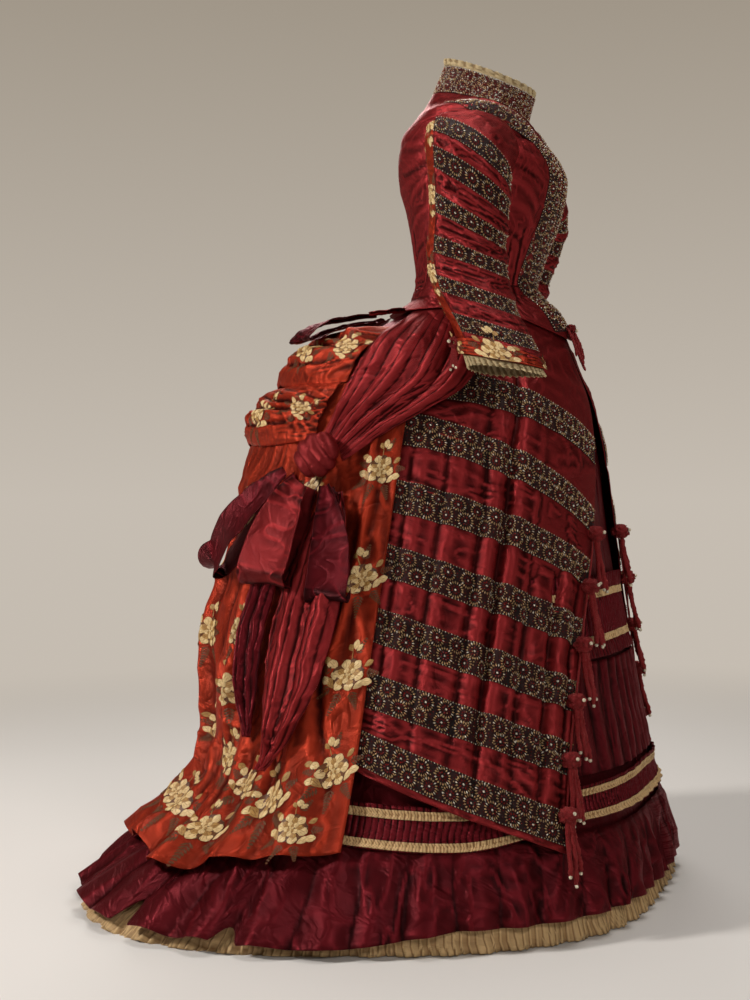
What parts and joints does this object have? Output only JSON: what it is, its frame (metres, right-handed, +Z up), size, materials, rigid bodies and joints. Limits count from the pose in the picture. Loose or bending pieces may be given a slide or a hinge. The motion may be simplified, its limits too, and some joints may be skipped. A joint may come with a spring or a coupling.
{
  "type": "worn bustle dress, held at the wearer's shoulders",
  "caption": "Victorian bustle dress: satin bodice with beaded bands and bent sleeves, panelled overskirt, brocade train drawn up in puffs under a bow, flounced hem.",
  "frame": {"origin": "on the wearer's midline at shoulder height, 1.33 m above the floor that the hem just clears, where the shoulders hold the dress", "axes": "+Z up, -Y the way the wearer faces, -X the wearer's right side"},
  "size_m": [1.062, 0.9679, 1.4297],
  "materials": {
    "crimson_satin": "silk satin, soft sheen",
    "rose_brocade": "silk brocade with woven flowers",
    "burgundy_taffeta": "dark silk satin",
    "cream_silk": "pleated silk",
    "cream_lace": "cotton lace",
    "beaded_net": "net covered in glass beads",
    "chenille": "chenille cord"
  },
  "bodies": {
    "root": {"basque_tassels": "chenille", "bodice_back_left": "crimson_satin", "bodice_back_right": "crimson_satin", "bodice_front_left": "crimson_satin", "bodice_front_right": "crimson_satin", "bodice_side_left": "crimson_satin", "bodice_side_right": "crimson_satin", "bow_loop_back": "burgundy_taffeta", "bow_loop_front": "crimson_satin", "bow_loop_side": "burgundy_taffeta", "collar": "beaded_net", "collar_frill": "cream_lace", "cuff_frill_left": "cream_lace", "cuff_frill_right": "cream_lace", "cuff_left": "rose_brocade", "cuff_right": "rose_brocade", "cuff_tassel_left": "chenille", "cuff_tassel_right": "chenille", "flounce": "burgundy_taffeta", "front_pleats": "burgundy_taffeta", "front_tassels_left": "chenille", "front_tassels_right": "chenille", "hem_frill": "cream_silk", "knot_left": "crimson_satin", "knot_right": "crimson_satin", "lower_band": "burgundy_taffeta", "overskirt_left": "crimson_satin", "overskirt_right": "crimson_satin", "puff_lower": "rose_brocade", "puff_upper": "rose_brocade", "sash_tail_back": "burgundy_taffeta", "sash_tail_left": "crimson_satin", "sash_tail_right": "crimson_satin", "swag_left": "crimson_satin", "swag_right": "crimson_satin", "train": "rose_brocade", "under_sleeve_left": "rose_brocade", "under_sleeve_right": "rose_brocade", "underskirt": "burgundy_taffeta", "upper_band": "burgundy_taffeta", "upper_sleeve_left": "crimson_satin", "upper_sleeve_right": "crimson_satin", "waist_loop_left": "burgundy_taffeta", "waist_loop_right": "burgundy_taffeta", "waist_tip_left": "crimson_satin", "waist_tip_right": "crimson_satin"}
  },
  "joints": []
}
